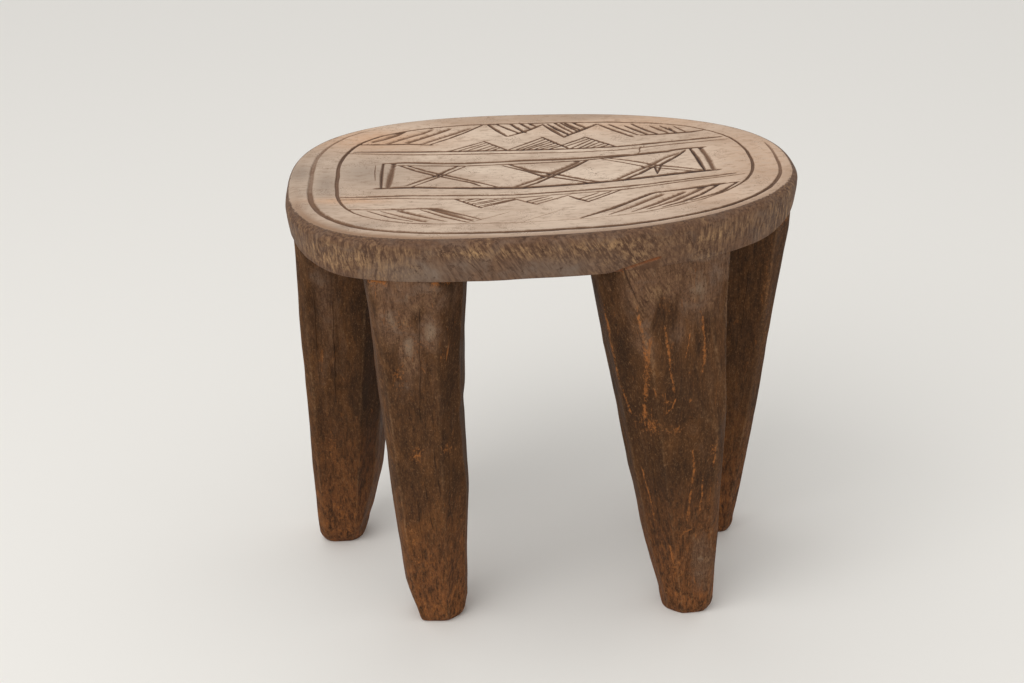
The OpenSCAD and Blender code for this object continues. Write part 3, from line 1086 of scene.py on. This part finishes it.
def makeLeg(leg, seed):
    bm = bmesh.new()
    count = legShape["around"]
    bmesh.ops.create_circle(bm, segments=count, radius=1, cap_ends=True)
    step = bm.verts.layers.int.new("step")
    layer = newLayers(bm, "depth", "groove", "arris", "rust", "patinaAndSheen", "shade")
    angles = [2 * math.pi * i / count for i in range(count)]
    rays = np.array([(math.cos(a), math.sin(a)) for a in angles])
    for v in bm.verts:
        v[step] = round(math.atan2(v.co.y, v.co.x) / (2 * math.pi) * count) % count
    below = block["height"] - block["thickness"]
    topmost = below + legShape["intoSeat"]
    depth, soft, height, rusty = legShape["undercut"]
    patchSize, patchSeed = legShape["worn"]
    flushPatinaAndSheen, hidden = legShape["patinaAndSheen"]

    def settle(verts, z):
        middle, reach, onBlock, arris, tone = legRing(leg, z, rays)
        for v in verts:
            i = v[step]
            x = middle.x + rays[i][0] * reach[i]
            y = middle.y + rays[i][1] * reach[i]
            front = y < middle.y
            cut = legShape["cut"] + legShape["scoopDepth"] * scoop(x, y, z, legShape["scoop"], seed)
            for amount, size, squeeze, other in legShape["uneven"]:
                cut += amount * ripple(x, y, z * squeeze, size, seed + other)
            flush = onBlock[i] * within(z - below + legShape["flush"][0], legShape["flush"][1])
            cut += (bandInset(x, y, below) - block["lean"] + legShape["bandGap"] - cut) * flush
            cut *= within(z, legShape["evenFoot"])
            rust = 0
            for a, b in leg["undercuts"]:
                inside = within(x - a + soft / 2, soft) * within(b + soft / 2 - x, soft)
                inside *= within(z - below + height, soft) * front
                cut += depth * inside
                rust = max(rust, rusty * inside)
            r = reach[i] - cut
            top = underZ(x) + legShape["intoSeat"]
            v.co = Vector((middle.x + rays[i][0] * r, middle.y + rays[i][1] * r, z / topmost * top))
            patchy = (1 + ripple(x, y, z, patchSize, seed + patchSeed)) / 2
            v[layer["arris"]] = float(arris[i] * patchy)
            v[layer["rust"]] = max(rust, spotted(leg["rust"], x, z) if front else 0)
            shade = min(1, spotted(leg["shade"], x, z))
            patinaAndSheen = max(flushPatinaAndSheen * flush, spotted(leg["patinaAndSheen"], x, z) if front else 0)
            v[layer["patinaAndSheen"]] = patinaAndSheen * (1 - hidden * shade)
            v[layer["shade"]] = min(1, shade + tone[i])

    rings, start = legShape["rings"], legShape["chamfer"]
    heights = list(legShape["footRings"])
    heights += [start + (below - start - 1) * i / rings for i in range(rings)]
    heights += [below + more for more in legShape["topRings"]] + [topmost]
    settle(bm.verts, 0)
    border = bm.edges[:]
    for z in heights[1:]:
        made = bmesh.ops.extrude_edge_only(bm, edges=border)["geom"]
        settle(vertsOf(made), z)
        border = edgesOf(made)
    bmesh.ops.contextual_create(bm, geom=border)
    foot, top = Vector(leg["foot"]), Vector(leg["top"])

    def onFront(v):
        return v.co.y < foot.y + (top.y - foot.y) * v.co.z / legShape["reach"]
    scoreMarks(bm, leg["marks"], onFront, layer, legShape["markCell"])
    return bm


def addNode(tree, kind, inputs=None, **settings):
    made = tree.nodes.new(kind)
    for key, value in settings.items():
        setattr(made, key, value)
    for key, value in (inputs or {}).items():
        if isinstance(value, bpy.types.NodeSocket):
            tree.links.new(value, made.inputs[key])
        else:
            made.inputs[key].default_value = value
    return made


def colour(red, green, blue):
    # from the eye's scale of 0 to 255 to plain light
    def plain(c):
        c /= 255
        return c / 12.92 if c <= 0.04045 else ((c + 0.055) / 1.055) ** 2.4
    return (plain(red), plain(green), plain(blue), 1)


def newFinish(name):
    material = bpy.data.materials.new(name)
    material.use_nodes = True
    return material, material.node_tree.nodes["Principled BSDF"].inputs


# These helpers add their nodes to the tree that their first socket belongs to
def patches(where, size, detail=3, roughness=0.55, stretch=(1, 1, 1), warp=0.0):
    # soft noise with patches of about that size in millimetres
    scale = [1 / (size * mm * s) for s in stretch]
    tree = where.id_data
    spot = addNode(tree, "ShaderNodeMapping", {"Vector": where, "Scale": scale}).outputs[0]
    return addNode(tree, "ShaderNodeTexNoise", {
        "Vector": spot, "Scale": 1.0, "Detail": detail, "Roughness": roughness, "Distortion": warp,
    }).outputs[0]


def between(value, low, high, start=0.0, end=1.0):
    return addNode(value.id_data, "ShaderNodeMapRange", {
        "Value": value, "From Min": low, "From Max": high, "To Min": start, "To Max": end,
    }, clamp=True).outputs[0]


def blend(share, one, other):
    sockets = {0: share, 6: one, 7: other}
    return addNode(share.id_data, "ShaderNodeMix", sockets, data_type="RGBA").outputs[2]


def sums(operation, one, other):
    return addNode(one.id_data, "ShaderNodeMath", {0: one, 1: other}, operation=operation).outputs[0]


def marked(tree, name):
    # what the pieces' points carry under that name
    return addNode(tree, "ShaderNodeAttribute", attribute_name=name).outputs["Fac"]


def times(one, other):
    return sums("MULTIPLY", one, other)


def coats(tone, layers):
    # colours laid over a tone one after the other, each with its share
    for share, over in layers:
        tone = blend(share, tone, over)
    return tone


def dress(shader, tone, roughness, gloss, bumps):
    # each bump has a strength, a depth in millimetres and a pattern
    tree = tone.id_data
    bump = {}
    for strength, depth, height in bumps:
        bump.update({"Strength": strength, "Distance": depth * mm, "Height": height})
        bump["Normal"] = addNode(tree, "ShaderNodeBump", bump).outputs[0]
    for name, value in (("Base Color", tone), ("Roughness", roughness), ("Normal", bump["Normal"])):
        tree.links.new(value, shader[name])
    shader["Specular IOR Level"].default_value = gloss


bandFinish = {
    "brown": colour(120, 88, 65),
    "dark": colour(66, 44, 31),
    "slate": colour(118, 101, 88),
    "pale": colour(166, 132, 94),
    "below": colour(84, 55, 35),
    "fibre": (2.2, 5, 0.72, (1, 1, 6), 0.4),
    "slant": 30,
    # distance from the middle over which the fibres turn upright, in metres
    "ends": (0.06, 0.12),
    # size in millimetres, detail, roughness, stretch and warp of each pattern
    "patterns": {
        "broad": (24, 4, 0.65, (1, 1, 0.7), 0.6),
        "speck": (2.4, 5, 0.75),
        "pits": (10, 4, 0.6, (1, 1, 0.8), 0.8),
    },
}


def bark(where):
    # grey brown skin of the band, with fibres that slant in the middle and stand at the ends
    c = bandFinish
    tree = where.id_data
    leaning = addNode(tree, "ShaderNodeMapping", {
        "Vector": where, "Rotation": (0, math.radians(c["slant"]), 0),
    }).outputs[0]
    slanting, upright = [patches(place, *c["fibre"]) for place in (leaning, where)]
    across = addNode(tree, "ShaderNodeSeparateXYZ", {"Vector": where}).outputs["X"]
    ends = between(sums("ABSOLUTE", across, 0), *c["ends"])
    fibre = blend(ends, slanting, upright)
    broad, speck, pits = [patches(where, *spec) for spec in c["patterns"].values()]
    slate = sums("ADD", between(broad, 0.5, 0.68, 0, 0.5), marked(tree, "greyed"))
    lit = sums("ADD", marked(tree, "pale"), between(broad, 0.48, 0.34, 0, 0.5))
    streaks = sums("ADD", fibre, between(speck, 0.3, 0.7, -0.08, 0.08))
    tone = coats(c["dark"], [
        (between(fibre, 0.3, 0.66), c["brown"]),
        (times(slate, between(fibre, 0.3, 0.6, 0.3, 0.9)), c["slate"]),
        (times(between(speck, 0.52, 0.38, 0, 0.85), between(pits, 0.5, 0.62)), c["dark"]),
        (times(lit, between(streaks, 0.47, 0.66, 0, 0.95)), c["pale"]),
    ])
    return tone, fibre, speck


topFinish = {
    "light": colour(206, 182, 160),
    "middle": colour(181, 155, 133),
    "pale": colour(221, 199, 177),
    "greyed": colour(150, 132, 116),
    "warm": colour(208, 167, 134),
    "lip": colour(152, 120, 94),
    "dull": colour(146, 121, 101),
    "pore": colour(112, 84, 64),
    # painted shade on the walls and at the bottom of the carved lines
    "grooveWallShade": colour(122, 92, 70),
    "grooveBottomShade": colour(56, 42, 38),
    "rust": colour(134, 80, 45),
    "gloss": 0.2,
    "patterns": {
        "wide": (40, 4, 0.6, (1.6, 0.8, 1), 0.3),
        "fine": (5, 5, 0.65, (1.6, 0.8, 1)),
        "grain": (1.4, 3, 0.6),
        "scratch": (1.1, 3, 0.6, (26, 1, 1), 0.2),
        "clusters": (16, 3, 0.6),
        "specks": (0.9, 0, 0.5),
    },
}


def topWood():
    material, shader = newFinish("worn end grain")
    tree = material.node_tree
    where = addNode(tree, "ShaderNodeTexCoord").outputs["Object"]
    c = topFinish
    wide, fine, grain, scratch, clusters, specks = [
        patches(where, *spec) for spec in c["patterns"].values()
    ]
    groove = marked(tree, "groove")
    edgy = sums("ADD", groove, between(grain, 0.3, 0.7, -0.06, 0.06))
    skin, fibre, speck = bark(where)
    skin = coats(skin, [
        (times(marked(tree, "below"), 0.7), bandFinish["below"]),
        # painted shade in the marks scored into the band
        (between(groove, 0.1, 0.7, 0, 0.8), bandFinish["dark"]),
    ])
    ragged = sums("ADD", marked(tree, "band"), between(speck, 0.35, 0.65, -0.3, 0.3))
    band = between(ragged, 0.35, 0.65)
    rusty = times(marked(tree, "rust"), between(speck, 0.3, 0.55, 0.5, 1))
    tone = coats(c["middle"], [
        (between(wide, 0.35, 0.65), c["light"]),
        (times(marked(tree, "pale"), between(wide, 0.2, 0.6)), c["pale"]),
        (times(marked(tree, "greyed"), 0.9), c["greyed"]),
        (times(marked(tree, "warm"), between(fine, 0.3, 0.6, 0.4, 1)), c["warm"]),
        (marked(tree, "lip"), c["lip"]),
        (between(fine, 0.52, 0.72, 0, 0.7), c["dull"]),
        (between(scratch, 0.58, 0.68, 0, 0.4), c["dull"]),
        (times(between(specks, 0.62, 0.72, 0, 0.8), between(clusters, 0.52, 0.62)), c["pore"]),
        # painted shade in the carved lines and grooves, darker where they are deeper
        (between(edgy, 0.1, 0.36), c["grooveWallShade"]),
        (between(edgy, 0.42, 0.9), c["grooveBottomShade"]),
        (band, skin),
        (between(rusty, 0.1, 0.7), c["rust"]),
    ])
    roughness = between(fine, 0.3, 0.7, 0.55, 0.75)
    bumps = [(0.5, 0.5, grain), (0.6, 1.2, times(fibre, band))]
    dress(shader, tone, roughness, c["gloss"], bumps)
    return material


legFinish = {
    "brown": colour(97, 64, 38),
    "dark": colour(48, 31, 19),
    "ochre": colour(122, 80, 45),
    "red": colour(130, 80, 46),
    "rust": colour(158, 98, 51),
    "patinaAndSheen": colour(138, 117, 97),
    "worn": colour(138, 104, 74),
    "crackShade": colour(30, 20, 13),
    # height over which the red foot fades, in metres
    "foot": (0.14, 0.02),
    "gloss": 0.1,
    "patterns": {
        "fibre": (2.4, 5, 0.72, (1, 1, 9), 0.3),
        "broad": (30, 4, 0.65, (1, 1, 2.2), 0.5),
        "blot": (12, 5, 0.65, (1, 1, 3), 0.7),
        "speck": (1.8, 4, 0.75, (1, 1, 1.6)),
        "chips": (2.8, 4, 0.7, (1, 1, 3.4), 0.5),
        "grit": (0.9, 3, 0.7, (1, 1, 2.4)),
        "streak": (6, 4, 0.7, (1, 1, 7), 0.9),
    },
}


def legWood():
    material, shader = newFinish("dark hewn wood")
    tree = material.node_tree
    where = addNode(tree, "ShaderNodeTexCoord").outputs["Object"]
    c = legFinish
    fibre, broad, blot, speck, chips, grit, streak = [
        patches(where, *spec) for spec in c["patterns"].values()
    ]
    height = addNode(tree, "ShaderNodeSeparateXYZ", {"Vector": where}).outputs["Z"]
    low = between(height, *c["foot"], 0, 0.8)
    # partly the band's real grey skin, partly a painted sheen on the legs' upper faces
    high = sums("ADD", marked(tree, "patinaAndSheen"), between(blot, 0.35, 0.65, 0.2, -0.25))
    patinaAndSheenPatches = times(between(high, 0.9, 1.25, 0, 0.8), between(speck, 0.35, 0.6, 0.5, 1))
    lit = times(between(speck, 0.58, 0.68, 0, 0.6), between(broad, 0.42, 0.58))
    spots = sums("ADD", marked(tree, "rust"), between(speck, 0.35, 0.65, -0.45, 0.45))
    tone = coats(c["dark"], [
        (between(fibre, 0.3, 0.68), c["brown"]),
        (between(broad, 0.5, 0.7, 0, 0.5), c["ochre"]),
        (between(blot, 0.5, 0.64, 0, 0.55), c["dark"]),
        (times(marked(tree, "shade"), 0.6), c["dark"]),
        (times(low, between(fibre, 0.36, 0.6)), c["red"]),
        (times(low, between(chips, 0.54, 0.64, 0, 0.65)), c["rust"]),
        (times(low, between(chips, 0.47, 0.37, 0, 1)), c["dark"]),
        (between(high, 0.1, 0.6), bark(where)[0]),
        (patinaAndSheenPatches, c["patinaAndSheen"]),
        (between(grit, 0.44, 0.34, 0, 0.6), c["dark"]),
        (between(grit, 0.56, 0.68, 0, 0.4), c["worn"]),
        (times(between(speck, 0.4, 0.3, 0, 0.7), between(blot, 0.6, 0.45)), c["dark"]),
        # arrises: real edge wear and a painted highlight along the ridges
        (times(marked(tree, "arris"), between(speck, 0.4, 0.6, 0.1, 0.9)), c["worn"]),
        (lit, c["worn"]),
        (times(between(streak, 0.63, 0.72), between(broad, 0.4, 0.55, 0, 0.7)), c["rust"]),
        (between(spots, 0.4, 0.95, 0, 0.85), c["rust"]),
        # painted shade in the scored cracks
        (between(marked(tree, "groove"), 0.15, 0.8, 0, 0.8), c["crackShade"]),
    ])
    roughness = between(broad, 0.35, 0.7, 0.6, 0.8)
    dress(shader, tone, roughness, c["gloss"], [(0.5, 0.6, speck), (0.5, 1.2, fibre)])
    return material


endGrain = topWood()
hewnWood = legWood()

finishPiece(makeSeat(), "carved_seat", endGrain, "seat", seatShape["sharp"])
firstSeed, nextSeed = legShape["seeds"]
for number, (name, leg) in enumerate(legs.items()):
    bm = makeLeg(leg, firstSeed + nextSeed * number)
    finishPiece(bm, "hewn_leg_" + name, hewnWood, "leg_" + name, legShape["sharp"])


studio = {
    "floor": colour(238, 235, 229),
    "world": 0.74,
    "key": 37,
    "keyPlace": (-1.1, -1.6, 2.4),
    "keySize": 2.2,
    "aim": (0, 0, 0.25),
    "floorSize": 9,
    "roughness": 0.8,
}


def makeStudio():
    bm = bmesh.new()
    bmesh.ops.create_grid(bm, x_segments=1, y_segments=1, size=studio["floorSize"])
    material, shader = newFinish("pale floor")
    shader["Base Color"].default_value = studio["floor"]
    shader["Roughness"].default_value = studio["roughness"]
    floor = linked(bm, "studioFloor", material)

    world = bpy.data.worlds.new("studio")
    world.use_nodes = True
    bpy.context.scene.world = world
    back = world.node_tree.nodes["Background"]
    back.inputs["Color"].default_value = (1, 1, 1, 1)
    back.inputs["Strength"].default_value = studio["world"]

    lamp = bpy.data.lights.new("keyLight", "AREA")
    lamp.energy = studio["key"]
    lamp.size = studio["keySize"]
    key = bpy.data.objects.new("keyLight", lamp)
    bpy.context.collection.objects.link(key)
    key.location = studio["keyPlace"]
    aim = Vector(studio["aim"]) - Vector(studio["keyPlace"])
    key.rotation_euler = aim.to_track_quat("-Z", "Y").to_euler()
    bpy.context.scene.view_settings.view_transform = "Standard"


makeStudio()
print("studio made")
